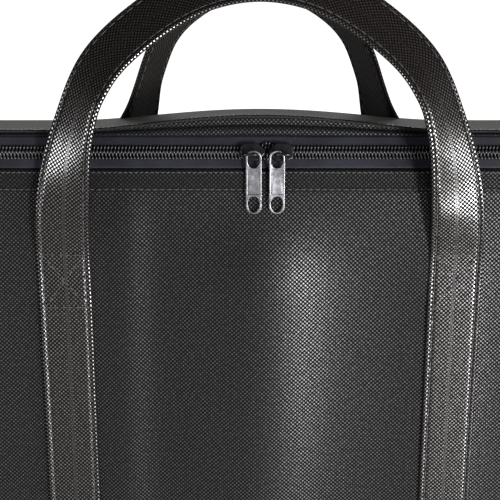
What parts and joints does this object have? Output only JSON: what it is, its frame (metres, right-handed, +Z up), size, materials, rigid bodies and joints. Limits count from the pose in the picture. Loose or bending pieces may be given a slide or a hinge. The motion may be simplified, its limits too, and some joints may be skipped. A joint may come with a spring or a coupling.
{
  "type": "portfolio case",
  "caption": "Soft-sided zipped portfolio case with a pair of strap handles, standing on its base, with a front cover that folds down.",
  "frame": {"origin": "middle of the flat underside of the base, on the surface the case stands on", "axes": "+X to the right seen from the front, -Y out of the front cover, +Z up along the height of the standing case"},
  "size_m": [0.68, 0.0735, 0.601],
  "materials": {
    "panel_cloth": "textured",
    "strap_cloth": "textured",
    "binding_cloth": "matte",
    "lining_cloth": "matte",
    "board": "matte",
    "zip_tape": "matte",
    "zip_coil": "gloss",
    "black_enamel": "gloss",
    "gunmetal": "satin"
  },
  "bodies": {
    "back_half": {"back_panel": "panel_cloth", "back_board": "board", "back_lining": "lining_cloth", "gusset_left": "panel_cloth", "gusset_right": "panel_cloth", "gusset_top": "panel_cloth", "crest_binding": "binding_cloth", "bottom_panel": "panel_cloth", "bottom_board": "board", "back_zip_tape": "zip_tape", "back_zip_coil": "zip_coil", "zip_end_left": "binding_cloth", "zip_end_right": "binding_cloth", "back_strap_left": "strap_cloth", "back_strap_right": "strap_cloth"},
    "front_cover": {"front_panel": "panel_cloth", "front_board": "board", "front_lining": "lining_cloth", "front_zip_tape": "zip_tape", "front_zip_coil": "zip_coil", "front_strap_left": "strap_cloth", "front_strap_right": "strap_cloth"},
    "front_handle_loop": {"front_handle": "strap_cloth"},
    "back_handle_loop": {"back_handle": "strap_cloth"},
    "slider_left": {"left_slider": "black_enamel"},
    "slider_right": {"right_slider": "black_enamel"},
    "pull_left": {"left_pull": "gunmetal"},
    "pull_right": {"right_pull": "gunmetal"}
  },
  "joints": [
    {"name": "cover_fold", "type": "hinge", "parent": "back_half", "child": "front_cover", "pos_m": [0, -0.025, 0.01], "axis": [1, 0, 0], "range_deg": [0, 90]},
    {"name": "front_handle_swing", "type": "hinge", "parent": "front_cover", "child": "front_handle_loop", "pos_m": [0, -0.0282, 0.468], "axis": [1, 0, 0], "range_deg": [-3, 160]},
    {"name": "back_handle_swing", "type": "hinge", "parent": "back_half", "child": "back_handle_loop", "pos_m": [0, 0.0282, 0.468], "axis": [1, 0, 0], "range_deg": [-160, 0]},
    {"name": "left_slider_run", "type": "slide", "parent": "back_half", "child": "slider_left", "axis": [-1, 0, 0], "range_m": [0, 0.295]},
    {"name": "right_slider_run", "type": "slide", "parent": "back_half", "child": "slider_right", "axis": [1, 0, 0], "range_m": [0, 0.289]},
    {"name": "left_pull_swing", "type": "hinge", "parent": "slider_left", "child": "pull_left", "pos_m": [0, -0.0274, 0.51525], "axis": [1, 0, 0], "range_deg": [-68, 0]},
    {"name": "right_pull_swing", "type": "hinge", "parent": "slider_right", "child": "pull_right", "pos_m": [0, -0.0274, 0.51525], "axis": [1, 0, 0], "range_deg": [-68, 0]}
  ]
}
